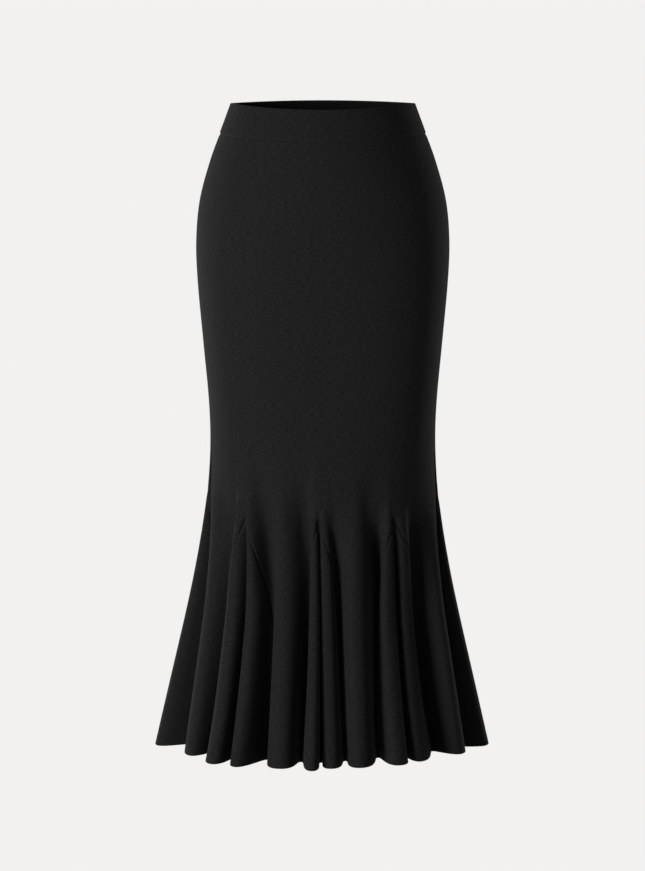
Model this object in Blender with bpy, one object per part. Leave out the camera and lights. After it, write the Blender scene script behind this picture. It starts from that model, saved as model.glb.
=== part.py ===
"""Mermaid fishtail skirt: a pull-on knit skirt, close to the knees, with eight godets let in below.

The frame is +Z up and +X to the right of someone who looks at the front, which faces -Y. The origin
is the centre of the waist opening. Every piece is cut from one surface: a closed section at each
drop below the waist, worked out from a table of the body's girths and a table of the hem's folds.
"""

import functools
import math
from typing import Callable, NamedTuple

import bpy
import numpy as np

MM = 0.001

# Lengths, all in millimetres.
LENGTH = 841.5  # waist to hem, at the side
BAND_HEIGHT = 38.5
WAIST_DIP = 9.4  # how much lower the waist edge lies at the centre of the front
DIP_ENDS = 170.0  # the drop below which every section is level
FRONT_TIP = 532.0  # drop of the points of the front and back godets
SIDE_TIP = 478.0  # drop of the points of the side godets

# The cut: a godet is a triangle with a rounded hem, and a strip of panel runs down between two.
GODET_FLARE = 0.345  # half width gained for each millimetre below its point
GODET_BLUNT = 3.5  # a godet starts this far below the end of its slit
STRIP_HALF = 51.0
SEAM_SETTLES = 165.0  # how far below a godet's point its seams reach the bottom of their valleys

# The cloth.
CLOTH = 1.6
BAND_CLOTH = 2.8  # two layers with the elastic between them
SEAM_GAP = 0.3
SIDE_SEAM_GAP = 0.5
BLACK_KNIT = (0.012, 0.012, 0.013, 1.0)
BLACK_BAND = (0.010, 0.010, 0.011, 1.0)
KNIT_ROUGHNESS = 0.92

# The folds.
FOLDS_START = -0.34  # how far above the points the troughs begin, in godet lengths
RIDGE_RECESS = 0.045  # how far the front and back ridges lie behind the strips, half way down
VALLEY_ROUND = 7.5  # roundness of a valley at the hem
CREASE_EASE = 0.35  # how much tighter a godet's middle crease is than the other folds near its point
BEND_SCALE = 27 / 4  # makes a bend whole where it is widest, a third of the way down
CURVE_STEPS = 14  # samples of each half fold
FOLDS_A_GODET = 3

# How finely the surface is measured and joined.
WAY_REACH = 0.4  # the way along the cloth is taken between points this far to each side
SLOPE_REACH = 1.0  # and the way down it between levels this far above and below
SAME_POINT = 0.01  # points closer than this are one
CREASE_ANGLE = 50.0  # degrees; the rims stay sharp and the cloth is smooth


class Girth(NamedTuple):
    """One level of the body: how far the skirt reaches, and how much fuller its front is than an ellipse."""

    drop: float
    side: float
    front: float
    back: float
    full: float = 0.0


GIRTHS = (
    Girth(0.0, 117.5, 93.0, 94.0),
    Girth(36.0, 130.9, 101.0, 107.0),
    Girth(75.0, 145.3, 109.0, 121.0, 0.012),
    Girth(127.0, 159.3, 115.5, 134.0, 0.028),
    Girth(180.0, 164.0, 118.0, 138.5, 0.04),
    Girth(231.0, 162.2, 118.0, 135.5, 0.05),
    Girth(310.0, 155.1, 114.0, 123.5, 0.052),
    Girth(388.0, 148.2, 109.5, 112.5, 0.048),
    Girth(441.0, 146.6, 108.0, 108.5, 0.04),
    Girth(494.0, 149.4, 109.5, 109.0, 0.03),
    Girth(547.0, 156.4, 115.0, 114.0, 0.02),
    Girth(600.0, 165.6, 123.5, 122.0, 0.01),
    Girth(653.0, 176.6, 134.5, 132.5),
    Girth(707.0, 189.0, 148.0, 145.5),
    Girth(760.0, 201.5, 162.0, 159.0),
    Girth(LENGTH, 220.5, 184.0, 180.0),
)


class Godet(NamedTuple):
    """Where a godet's point lies: its turn is 0 degrees in front and 90 at the right side."""

    name: str
    turn: float
    tip: float


GODETS = (
    Godet("godet_side_left", -88.0, SIDE_TIP),
    Godet("godet_front_left", -40.0, FRONT_TIP),
    Godet("godet_front_centre", -2.0, FRONT_TIP),
    Godet("godet_front_right", 35.0, FRONT_TIP),
    Godet("godet_side_right", 86.0, SIDE_TIP),
    Godet("godet_back_right", 141.0, FRONT_TIP),
    Godet("godet_back_centre", 180.0, FRONT_TIP),
    Godet("godet_back_left", 219.0, FRONT_TIP),
)


class Fold(NamedTuple):
    """A fold at the hem, seen from above: its crest, the valley after it, and where both begin.

    across runs along +X, out along -Y, and round is the crest's roundness. The starts lie level
    with the godets' points, in shares of the way from one godet to the next. The bends turn the
    crest and the valley by so many degrees a third of the way down, and valley_lead starts the
    valley so much higher.
    """

    crest_across: float
    crest_out: float
    crest_round: float
    crest_start: float
    valley_across: float
    valley_out: float
    valley_start: float
    crest_bend: float = 0.0
    valley_bend: float = 0.0
    valley_lead: float = 0.0


# Three folds follow each godet's point: its own right half, the strip, the next godet's left half.
FOLDS = (
    Fold(-220, 20, 26, 0.03, -170, 17, 0.12),
    Fold(-175, 88, 22, 0.31, -139, 67, 0.86, 0.0, -2.5, 8.0),
    Fold(-144, 142, 22, 0.905, -109, 96, 1.0, -3.2, 0.0, 5.0),
    Fold(-113, 160, 17, 0.04, -71, 116, 0.21, 0.0, 0.0, 18.0),
    Fold(-57, 171, 25, 0.51, -28, 130, 0.81, 0.0, 3.0, 30.0),
    Fold(-14, 185, 15, 0.94, -2, 134, 1.0),
    Fold(11, 171, 19, 0.06, 29, 124, 0.20, 0.0, 0.0, -8.0),
    Fold(49, 166, 24, 0.49, 71, 104, 0.83, 0.0, 6.0),
    Fold(100, 150, 23, 0.975, 104, 98, 1.0, 0.0, 2.5),
    Fold(128, 126, 18, 0.15, 142, 64, 0.36, 1.5),
    Fold(182, 78, 21, 0.80, 176, 36, 0.91),
    Fold(218, 18, 26, 0.97, 176, -10, 1.0),
    Fold(208, -50, 26, 0.05, 160, -58, 0.24),
    Fold(186, -104, 24, 0.48, 144, -92, 0.74),
    Fold(143, -140, 24, 0.94, 110, -108, 1.0),
    Fold(104, -163, 23, 0.06, 78, -124, 0.25),
    Fold(62, -170, 22, 0.50, 40, -134, 0.74),
    Fold(20, -183, 20, 0.94, 1, -134, 1.0),
    Fold(-18, -176, 21, 0.06, -36, -130, 0.24),
    Fold(-58, -174, 23, 0.50, -78, -126, 0.70),
    Fold(-100, -162, 23, 0.94, -114, -106, 1.0),
    Fold(-142, -138, 24, 0.06, -140, -88, 0.23),
    Fold(-182, -100, 26, 0.52, -160, -52, 0.78),
    Fold(-212, -44, 25, 0.95, -178, -6, 1.0),
)


class Growth(NamedTuple):
    """How far the folds have come, level by level: fall is 0 at a godet's point and 1 at the hem."""

    fall: float
    spread: float
    seam_valley: float
    centre_valley: float
    recess: float


GROWTHS = (
    Growth(FOLDS_START, 0.0, 0.0, 0.0, 0.0),
    Growth(-0.1, 0.0, 0.10, 0.0, 0.0),
    Growth(0.0, 0.04, 0.22, 0.03, 0.05),
    Growth(0.06, 0.16, 0.40, 0.21, 0.25),
    Growth(0.2, 0.40, 0.68, 0.49, 0.60),
    Growth(0.4, 0.62, 0.90, 0.73, 1.0),
    Growth(0.6, 0.77, 1.0, 0.87, 0.95),
    Growth(0.8, 0.89, 1.02, 0.95, 0.60),
    Growth(1.0, 1.0, 1.0, 1.0, 0.0),
)

# Levels that carry a row of points, as drops below the waist.
BAND_ROWS = (0.0, 7.0, 20.0, 32.0, BAND_HEIGHT - SEAM_GAP / 2)
BODY_ROWS = (BAND_HEIGHT + SEAM_GAP / 2, 75.0, 120.0, 170.0, 225.0, 285.0, 345.0, 400.0, 445.0)
TIP_ROWS = (SIDE_TIP, SIDE_TIP + GODET_BLUNT, 505.0, FRONT_TIP, FRONT_TIP + GODET_BLUNT)
FLARE_ROWS = (552.0, 580.0, 615.0, 655.0, 700.0, 745.0, 792.0, LENGTH)
PANEL_ROWS = BODY_ROWS + TIP_ROWS + FLARE_ROWS

# Where the columns of points run, from a seam or a godet's middle to the middle of the strip.
STRIP_SHARES = (0.0, 0.1, 0.28, 0.5, 0.74, 1.0)
GODET_SHARES = (0.0, 0.06, 0.16, 0.28, 0.39, 0.5, 0.61, 0.72, 0.84, 0.94, 1.0)


def through(table: tuple, column: str, at: float) -> float:
    """A smooth curve through one column of a table whose first column is the level."""
    x = [row[0] for row in table]
    y = [getattr(row, column) for row in table]
    if at <= x[0]:
        return y[0]
    if at >= x[-1]:
        return y[-1]
    i = next(n for n in range(len(x) - 1) if at <= x[n + 1])

    def slope(n: int) -> float:
        low, high = max(n - 1, 0), min(n + 1, len(x) - 1)
        return (y[high] - y[low]) / (x[high] - x[low])

    span = x[i + 1] - x[i]
    t = (at - x[i]) / span
    ends = (1 + 2 * t) * (1 - t) ** 2 * y[i] + t * t * (3 - 2 * t) * y[i + 1]
    return ends + span * t * (1 - t) * ((1 - t) * slope(i) - t * slope(i + 1))


def ring_reach(drop: float, turn: float) -> tuple[float, float]:
    """How far the body's ring reaches to the side, and to the front or back, at a turn in radians."""
    depth = "front" if math.cos(turn) >= 0 else "back"
    return through(GIRTHS, "side", drop), through(GIRTHS, depth, drop)


def on_ring(drop: float, turn: float, reach: float) -> tuple[np.ndarray, np.ndarray]:
    """The point at a turn, on the body's ring scaled by reach, and the way along the ring there."""
    side, depth = ring_reach(drop, turn)
    full = through(GIRTHS, "full", drop) if math.cos(turn) >= 0 else 0.0
    fuller = 1 + full * math.sin(2 * turn) ** 2
    ellipse = np.array([side * math.sin(turn), -depth * math.cos(turn)])
    way = fuller * np.array([side * math.cos(turn), depth * math.sin(turn)])
    way += 2 * full * math.sin(4 * turn) * ellipse
    return reach * fuller * ellipse, way / np.linalg.norm(way)


def at_hem(across: float, out: float, near: float) -> tuple[float, float]:
    """A point of the hem as a turn, within half a round of near, and a depth behind the body's ring."""
    side, depth = ring_reach(LENGTH, 0.0 if out >= 0 else math.pi)
    turn = math.atan2(across / side, out / depth)
    turn += math.tau * round((near - turn) / math.tau)
    return turn, 1 - math.hypot(across / side, out / depth)


class Feature(NamedTuple):
    """A crest or a valley in one section: its place, the way round there, and how round it is."""

    place: np.ndarray
    along: np.ndarray
    spread: float
    round: float
    ease: float


class Track(NamedTuple):
    """The way of a crest or a valley down the cloth, from level with the points to the hem."""

    tip: float
    start_turn: float
    hem_turn: float
    hem_depth: float
    growth: str
    recess: float
    round: float
    bend: float
    ease: float

    def at(self, drop: float) -> Feature:
        """Where it lies in the section at a drop."""
        fall = max(FOLDS_START, (drop - self.tip) / (LENGTH - self.tip))
        spread = through(GROWTHS, "spread", fall)
        turn = self.start_turn + (self.hem_turn - self.start_turn) * spread
        below = min(max(fall, 0.0), 1.0)
        turn += self.bend * BEND_SCALE * below * (1 - below) ** 2
        depth = self.hem_depth * through(GROWTHS, self.growth, fall)
        depth += self.recess * through(GROWTHS, "recess", fall)
        return Feature(*on_ring(drop, turn, 1 - depth), spread, self.round, self.ease)


def axis_turn(godet: int) -> float:
    """The turn of a godet's point in radians, which goes on growing past a whole round."""
    rounds, index = divmod(godet, len(GODETS))
    return math.radians(GODETS[index].turn) + math.tau * rounds


def fold_tracks(index: int, fold: Fold) -> tuple[Track, Track]:
    """The crest and the valley of one fold."""
    before, step = divmod(index, FOLDS_A_GODET)
    after = before + 1
    tips = [GODETS[godet % len(GODETS)].tip for godet in (before, after)]
    way = axis_turn(after) - axis_turn(before)
    crest_start = axis_turn(before) + fold.crest_start * way
    valley_start = axis_turn(before) + fold.valley_start * way
    crest_hem = at_hem(fold.crest_across, fold.crest_out, crest_start)
    valley_hem = at_hem(fold.valley_across, fold.valley_out, valley_start)
    crest_tip = (tips[0], (tips[0] + tips[1]) / 2, tips[1])[step]
    valley_tip = (tips[0], tips[1], tips[1])[step] - fold.valley_lead
    recess = 0.0 if step == 1 or crest_tip == SIDE_TIP else RIDGE_RECESS
    growth, ease = ("centre_valley", CREASE_EASE) if step == 2 else ("seam_valley", 1.0)
    crest_bend, valley_bend = math.radians(fold.crest_bend), math.radians(fold.valley_bend)
    return (
        Track(crest_tip, crest_start, *crest_hem, "spread", recess, fold.crest_round, crest_bend, 1.0),
        Track(valley_tip, valley_start, *valley_hem, growth, 0.0, VALLEY_ROUND, valley_bend, ease),
    )


TRACKS = [fold_tracks(index, fold) for index, fold in enumerate(FOLDS)]


class Half(NamedTuple):
    """Half a period of a section, from a godet's middle to the middle of the strip beside it."""

    points: np.ndarray
    lengths: np.ndarray
    ends: tuple[np.ndarray, np.ndarray]
    valley: float


def bend(first: Feature, last: Feature, side: int) -> np.ndarray:
    """The points of a cubic Bezier curve from one feature to the next."""
    third = np.linalg.norm(last.place - first.place) / 3
    out = third * first.ease * (1 - first.spread) + first.round * first.spread
    back = third * last.ease * (1 - last.spread) + last.round * last.spread
    t = np.linspace(0, 1, CURVE_STEPS + 1)[:, None]
    return (
        (1 - t) ** 3 * first.place
        + 3 * (1 - t) ** 2 * t * (first.place + side * out * first.along)
        + 3 * (1 - t) * t * t * (last.place - side * back * last.along)
        + t**3 * last.place
    )


@functools.lru_cache(maxsize=None)
def half_at(godet: int, side: int, drop: float) -> Half:
    """The centre valley, the ridge, the seam valley and the strip's crest, joined by curves."""
    crest, valley = 0, 1
    right = (-1, valley), (0, crest), (0, valley), (1, crest)
    left = (-1, valley), (-1, crest), (-2, valley), (-2, crest)
    features = [
        TRACKS[(FOLDS_A_GODET * godet + step) % len(TRACKS)][kind].at(drop)
        for step, kind in (right if side > 0 else left)
    ]
    curves = [bend(first, last, side) for first, last in zip(features, features[1:])]
    points = np.concatenate([curves[0], curves[1][1:], curves[2][1:]])
    steps = np.linalg.norm(np.diff(points, axis=0), axis=1)
    lengths = np.concatenate([[0.0], np.cumsum(steps)])
    valley = lengths[2 * CURVE_STEPS] / lengths[-1]
    return Half(points, lengths, (features[0].along, features[-1].along), valley)


def along_half(half: Half, share: float, side: int) -> tuple[np.ndarray, np.ndarray]:
    """The point of a half period at a share of its length, and the way round the skirt there."""
    total = half.lengths[-1]
    if share <= 0:
        return half.points[0], half.ends[0]
    if share >= 1:
        return half.points[-1], half.ends[1]
    near = WAY_REACH / total

    def point(at: float) -> np.ndarray:
        length = min(max(at, 0.0), 1.0) * total
        return np.array([np.interp(length, half.lengths, half.points[:, n]) for n in (0, 1)])

    way = side * (point(share + near) - point(share - near))
    return point(share), way / np.linalg.norm(way)


def seam_share(godet: int, side: int, drop: float) -> float:
    """Where the godet's seam lies in its half period: by the cut near the point, then in the valley."""
    below = max(0.0, drop - GODETS[godet % len(GODETS)].tip)
    half_width = GODET_FLARE * below
    by_cut = half_width / (half_width + STRIP_HALF)
    t = min(below / SEAM_SETTLES, 1.0)
    settled = t * t * (3 - 2 * t)
    return by_cut + (half_at(godet, side, drop).valley - by_cut) * settled


def dip_at(drop: float, place: np.ndarray) -> float:
    """How much lower than its drop a point of the front lies, because the waist edge dips there."""
    if drop >= DIP_ENDS or place[1] >= 0:
        return 0.0
    side, front = ring_reach(drop, 0.0)
    facing = 1 / (1 + (place[0] * front / (place[1] * side)) ** 2)
    fade = math.cos(math.pi / 2 * max(0.0, drop - BAND_HEIGHT) / (DIP_ENDS - BAND_HEIGHT)) ** 2
    return WAIST_DIP * facing * fade


def cloth_point(godet: int, side: int, share_at: Callable, drop: float) -> tuple[np.ndarray, np.ndarray]:
    """A point of the cloth in metres and the way out of the skirt there."""

    def place(level: float) -> tuple[np.ndarray, np.ndarray]:
        flat, way = along_half(half_at(godet, side, level), share_at(level), side)
        dip = dip_at(level, flat)
        if dip:
            here, lower = ring_reach(level, 0.0), ring_reach(level + dip, 0.0)
            flat = flat * np.array([lower[0] / here[0], lower[1] / here[1]])
        return np.array([*flat, -level - dip]), np.array([*way, 0.0])

    point, way = place(drop)
    upper, lower = max(drop - SLOPE_REACH, 0.0), min(drop + SLOPE_REACH, LENGTH)
    down = place(lower)[0] - place(upper)[0]
    outward = np.cross(down, way)
    return point * MM, outward / np.linalg.norm(outward)


class Surface:
    """A sheet of cloth as points with their outward ways, and the four-sided faces between them."""

    def __init__(self) -> None:
        self.points: list[np.ndarray] = []
        self.outward: list[np.ndarray] = []
        self.faces: list[tuple[int, ...]] = []
        self.seen: dict[tuple[int, ...], int] = {}

    def add(self, point: np.ndarray, outward: np.ndarray) -> int:
        """The number of a point, which is new unless it was added before."""
        key = tuple(int(round(v)) for v in point / (SAME_POINT * MM))
        if key not in self.seen:
            self.seen[key] = len(self.points)
            self.points.append(point)
            self.outward.append(outward)
        return self.seen[key]

    def add_grid(self, rows: list[list[tuple[np.ndarray, np.ndarray]]]) -> None:
        """Joins rows of points, top to bottom, each running the way the turn grows.

        A row may have twice the columns of the row above it.
        """
        index = [[self.add(*point) for point in row] for row in rows]
        for upper, lower in zip(index, index[1:]):
            twice = len(lower) > len(upper)
            for left in range(len(upper) - 1):
                a, b = upper[left], upper[left + 1]
                if twice:
                    c, d, e = lower[2 * left : 2 * left + 3]
                    self.faces += [(a, c, d), (a, d, b), (b, d, e)]
                else:
                    self.faces.append((a, lower[left], lower[left + 1], b))

    def rim(self, start: int, end: int) -> list[tuple[int, ...]]:
        """The rim along one free edge, split from the upper outer corner to the lower inner one.

        Both sides of a seam are split alike, so that their rims stay parallel.
        """
        inner_start, inner_end = start + len(self.points), end + len(self.points)
        if self.points[start][2] > self.points[end][2]:
            return [(end, start, inner_end), (start, inner_start, inner_end)]
        return [(end, start, inner_start), (end, inner_start, inner_end)]

    def solid(self, name: str, thickness: float, colour: tuple) -> bpy.types.Object:
        """The sheet made a wall: an outer and an inner skin, with a rim along every free edge."""
        count = len(self.points)
        half = thickness / 2 * MM
        outer = [p + half * n for p, n in zip(self.points, self.outward)]
        inner = [p - half * n for p, n in zip(self.points, self.outward)]
        faces = list(self.faces) + [tuple(count + v for v in reversed(f)) for f in self.faces]
        edges = {(f[n - 1], f[n]) for f in self.faces for n in range(len(f))}
        for start, end in sorted(edges):
            if (end, start) not in edges:
                faces += self.rim(start, end)
        mesh = bpy.data.meshes.new(name)
        mesh.from_pydata([tuple(p) for p in outer + inner], [], faces)
        mesh.validate()
        mesh.shade_smooth()
        mesh.set_sharp_from_angle(angle=math.radians(CREASE_ANGLE))
        piece = bpy.data.objects.new(name, mesh)
        mesh.materials.append(knit(name, colour))
        bpy.context.scene.collection.objects.link(piece)
        return piece


def knit(name: str, colour: tuple) -> bpy.types.Material:
    """A matt knit."""
    material = bpy.data.materials.new(name)
    material.use_nodes = True
    shader = material.node_tree.nodes["Principled BSDF"]
    shader.inputs["Base Color"].default_value = colour
    shader.inputs["Roughness"].default_value = KNIT_ROUGHNESS
    shader.inputs["Metallic"].default_value = 0.0
    material.diffuse_color = colour
    return material


def strip_columns(left: int, drop: float) -> list[tuple[np.ndarray, np.ndarray]]:
    """A row across the strip between two godets, kept off the side seams."""
    side_gap = SIDE_SEAM_GAP / 2 / STRIP_HALF

    def column(godet: int, side: int, share: float):
        def share_at(level: float) -> float:
            seam = seam_share(godet, side, level)
            if seam == 0 and GODETS[godet % len(GODETS)].tip == SIDE_TIP:
                seam = side_gap
            return seam + share * (1 - seam)

        return cloth_point(godet, side, share_at, drop)

    row = [column(left, 1, share) for share in STRIP_SHARES]
    row += [column(left + 1, -1, share) for share in reversed(STRIP_SHARES[:-1])]
    return row[::2] if drop < SIDE_TIP else row


def build_tube_half(
    name: str, first_godet: int, drops: tuple, thickness: float, colour: tuple
) -> bpy.types.Object:
    """The front or back between two drops: four strips, one cloth down to the godets' points."""
    surface = Surface()
    for strip in range(len(GODETS) // 2):
        surface.add_grid([strip_columns(first_godet + strip, drop) for drop in drops])
    return surface.solid(name, thickness, colour)


def build_godet(index: int) -> bpy.types.Object:
    """A godet: a blunt point just below the end of its slit, then seam to seam down to the hem."""
    godet = GODETS[index]
    surface = Surface()
    drops = [drop for drop in PANEL_ROWS if drop >= godet.tip + GODET_BLUNT]

    def column(side: int, share: float, drop: float):
        def share_at(level: float) -> float:
            seam = seam_share(index, side, level)
            return share * (seam - SEAM_GAP / half_at(index, side, level).lengths[-1])

        return cloth_point(index, side, share_at, drop)

    rows = []
    for drop in drops:
        left = [column(-1, share, drop) for share in reversed(GODET_SHARES[1:])]
        rows.append(left + [column(1, share, drop) for share in GODET_SHARES])
    surface.add_grid(rows)
    return surface.solid(godet.name, CLOTH, BLACK_KNIT)


def main() -> None:
    """Clears the scene and builds the waistband, the two panels and the godets."""
    for item in list(bpy.data.objects):
        bpy.data.objects.remove(item)
    for side, first_godet in (("front", 0), ("back", len(GODETS) // 2)):
        build_tube_half(f"waistband_{side}", first_godet, BAND_ROWS, BAND_CLOTH, BLACK_BAND)
        build_tube_half(f"{side}_panel", first_godet, PANEL_ROWS, CLOTH, BLACK_KNIT)
    for index in range(len(GODETS)):
        build_godet(index)


main()
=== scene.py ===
"""The looks of a mermaid fishtail skirt: black double knit, its seams and stitches, in a pale studio.

Every sheet of cloth lies on one surface, SkirtForm, which is a closed section at each drop below the
waist. It follows from a table of the body's girths and a table of the hem's folds. Panels, godets and
the waistband are patches of it, cut apart at their seams, with the edges of the cloth rolled in at
each seam and folded at the waist and the hem. Geometry Nodes give the cloth its thickness and lay
the thread. Lengths are in millimetres until a mesh is made. The frame is +Z up, the front faces -Y,
and the origin is the centre of the waist opening.
"""

from __future__ import annotations

import logging
import math
from dataclasses import dataclass, field, replace
from enum import Enum
from functools import partial
from typing import Iterable, NamedTuple, Sequence

import bpy
import numpy as np
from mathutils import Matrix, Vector

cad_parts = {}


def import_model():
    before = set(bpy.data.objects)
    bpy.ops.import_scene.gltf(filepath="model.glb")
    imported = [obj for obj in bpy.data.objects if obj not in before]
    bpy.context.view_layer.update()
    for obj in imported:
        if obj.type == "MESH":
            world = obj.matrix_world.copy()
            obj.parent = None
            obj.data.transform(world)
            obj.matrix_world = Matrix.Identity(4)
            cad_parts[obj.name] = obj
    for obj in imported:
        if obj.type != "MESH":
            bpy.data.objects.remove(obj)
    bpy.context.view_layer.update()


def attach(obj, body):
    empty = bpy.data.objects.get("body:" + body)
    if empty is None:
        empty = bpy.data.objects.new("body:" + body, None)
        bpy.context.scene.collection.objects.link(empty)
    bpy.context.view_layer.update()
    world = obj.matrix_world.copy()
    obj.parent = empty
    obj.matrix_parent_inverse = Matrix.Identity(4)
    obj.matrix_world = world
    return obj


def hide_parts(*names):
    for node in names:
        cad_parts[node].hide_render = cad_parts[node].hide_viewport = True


LOG = logging.getLogger("skirt")
MM = 0.001
NEAR_ZERO = 1e-6

Array = np.ndarray
Piece = bpy.types.Object
Tree = bpy.types.NodeTree
Socket = bpy.types.NodeSocket
Material = bpy.types.Material
Colour = tuple[float, float, float]
Place = tuple[float, float, float]


# ---- The cut and the folds ----


class Side(Enum):
    """The two halves of a fold period, seen from a godet's middle."""

    LEFT = -1
    RIGHT = 1


class Growing(Enum):
    """Which column of the growth table a crest or a valley follows."""

    SPREAD = "spread"
    SEAM_VALLEY = "seam_valley"
    CENTRE_VALLEY = "centre_valley"


@dataclass(frozen=True)
class Cut:
    """The skirt's driving measures in millimetres, and how its folds grow, in shares."""

    length: float = 841.5
    band_height: float = 38.5
    waist_dip: float = 9.4
    dip_ends: float = 170.0
    front_tip: float = 532.0
    side_tip: float = 478.0
    godet_flare: float = 0.345
    strip_half: float = 51.0
    seam_settles: float = 165.0
    folds_start: float = -0.34
    ridge_recess: float = 0.045
    valley_round: float = 7.5
    crease_ease: float = 0.35
    ease_pace: float = 2.0


CUT = Cut()


class Girth(NamedTuple):
    """One level of the body: its reaches, and how much fuller than an ellipse it is in front."""

    drop: float
    side: float
    front: float
    back: float
    full: float = 0.0


GIRTHS = (
    Girth(0.0, 117.5, 93.0, 94.0),
    Girth(36.0, 130.9, 101.0, 107.0),
    Girth(75.0, 145.3, 109.0, 121.0, 0.012),
    Girth(127.0, 159.3, 115.3, 134.0, 0.036),
    Girth(180.0, 164.0, 117.2, 138.5, 0.062),
    Girth(231.0, 162.2, 116.0, 135.5, 0.088),
    Girth(310.0, 155.1, 111.6, 123.5, 0.1),
    Girth(388.0, 148.2, 107.2, 112.5, 0.095),
    Girth(441.0, 146.6, 106.8, 108.5, 0.066),
    Girth(494.0, 149.4, 109.2, 109.0, 0.035),
    Girth(547.0, 156.4, 115.0, 114.0, 0.02),
    Girth(600.0, 165.6, 123.5, 122.0, 0.01),
    Girth(653.0, 176.6, 134.5, 132.5),
    Girth(707.0, 189.0, 148.0, 145.5),
    Girth(760.0, 201.5, 162.0, 159.0),
    Girth(CUT.length, 220.5, 184.0, 180.0),
)


class GodetPlace(NamedTuple):
    """Where a godet's point lies: its turn is 0 degrees in front and 90 at the right side."""

    name: str
    turn: float
    tip: float = CUT.front_tip


GODETS = (
    GodetPlace("godet_side_left", -88.0, CUT.side_tip),
    GodetPlace("godet_front_left", -40.0),
    GodetPlace("godet_front_centre", -2.0),
    GodetPlace("godet_front_right", 35.0),
    GodetPlace("godet_side_right", 86.0, CUT.side_tip),
    GodetPlace("godet_back_right", 141.0),
    GodetPlace("godet_back_centre", 180.0),
    GodetPlace("godet_back_left", 219.0),
)


def place_of(godet: int) -> GodetPlace:
    """A godet's place. The numbers go on past a whole round."""
    return GODETS[godet % len(GODETS)]


class Fold(NamedTuple):
    """A fold at the hem, seen from above: its crest, the valley after it, and where both begin.

    across runs along +X, out along -Y, and round is the crest's roundness. The starts lie level
    with the godets' points, in shares of the way from one godet to the next. The bends turn the
    crest and the valley by so many degrees a third of the way down, and valley_lead starts the
    valley so much higher.
    """

    crest_across: float
    crest_out: float
    crest_round: float
    crest_start: float
    valley_across: float
    valley_out: float
    valley_start: float
    crest_bend: float = 0.0
    valley_bend: float = 0.0
    valley_lead: float = 0.0


# Three folds follow each godet's point: its own right half, the strip, the next godet's left half.
FOLDS = (
    Fold(-220, 20, 26, 0.03, -170, 17, 0.12),
    Fold(-175, 88, 22, 0.31, -139, 67, 0.86, 0.0, -2.5, 8.0),
    Fold(-144, 142, 22, 0.905, -109, 96, 1.0, -3.2, 0.0, 7.0),
    Fold(-113, 160, 17, 0.04, -71, 116, 0.21, 0.0, 0.0, 26.0),
    Fold(-57, 171, 25, 0.51, -28, 130, 0.81, 0.0, 3.0, 30.0),
    Fold(-14, 185, 15, 0.94, -2, 134, 1.0, 0.0, 0.0, 7.0),
    Fold(11, 171, 19, 0.06, 29, 124, 0.20, 0.0, 0.0, -8.0),
    Fold(49, 166, 24, 0.49, 71, 104, 0.83, 0.0, 6.0),
    Fold(100, 150, 23, 0.96, 104, 98, 1.0, 1.0, 3.0, 6.0),
    Fold(128, 126, 18, 0.12, 142, 64, 0.27, 3.2, 3.6),
    Fold(182, 78, 21, 0.80, 176, 36, 0.91),
    Fold(218, 18, 26, 0.97, 176, -10, 1.0),
    Fold(208, -50, 26, 0.05, 160, -58, 0.24),
    Fold(186, -104, 24, 0.48, 144, -92, 0.74),
    Fold(143, -140, 24, 0.94, 110, -108, 1.0),
    Fold(104, -163, 23, 0.06, 78, -124, 0.25),
    Fold(62, -170, 22, 0.50, 40, -134, 0.74),
    Fold(20, -183, 20, 0.94, 1, -134, 1.0),
    Fold(-18, -176, 21, 0.06, -36, -130, 0.24),
    Fold(-58, -174, 23, 0.50, -78, -126, 0.70),
    Fold(-100, -162, 23, 0.94, -114, -106, 1.0),
    Fold(-142, -138, 24, 0.06, -140, -88, 0.23),
    Fold(-182, -100, 26, 0.52, -160, -52, 0.78),
    Fold(-212, -44, 25, 0.95, -178, -6, 1.0),
)
FOLDS_A_GODET = 3
# Makes the greatest value of x (1 - x)^2, which a bend follows down the fold, one.
BEND_SCALE = 27 / 4


class Growth(NamedTuple):
    """How far the folds have come, level by level: fall is 0 at a godet's point and 1 at the hem."""

    fall: float
    spread: float
    seam_valley: float
    centre_valley: float
    recess: float


GROWTHS = (
    Growth(CUT.folds_start, 0.0, 0.0, 0.0, 0.0),
    Growth(-0.1, 0.0, 0.05, 0.0, 0.0),
    Growth(0.0, 0.04, 0.22, 0.03, 0.05),
    Growth(0.06, 0.16, 0.40, 0.21, 0.25),
    Growth(0.2, 0.40, 0.68, 0.49, 0.60),
    Growth(0.4, 0.62, 0.90, 0.73, 1.0),
    Growth(0.6, 0.77, 1.0, 0.87, 0.95),
    Growth(0.8, 0.89, 1.02, 0.95, 0.60),
    Growth(1.0, 1.0, 1.0, 1.0, 0.0),
)


def running(steps: Array) -> Array:
    """How far each point of a line lies along it, from the lengths of its steps."""
    return np.concatenate([[0.0], np.cumsum(steps)])


def meeting(left: Array, right: Array) -> Array:
    """Two halves of a row as one: the right one comes turned round and shares the middle point."""
    return np.concatenate([left, right[-2::-1]])


def smooth_step(t: Array | float) -> Array | float:
    """Rises from 0 to 1 with level ends."""
    return t * t * (3 - 2 * t)


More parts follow.
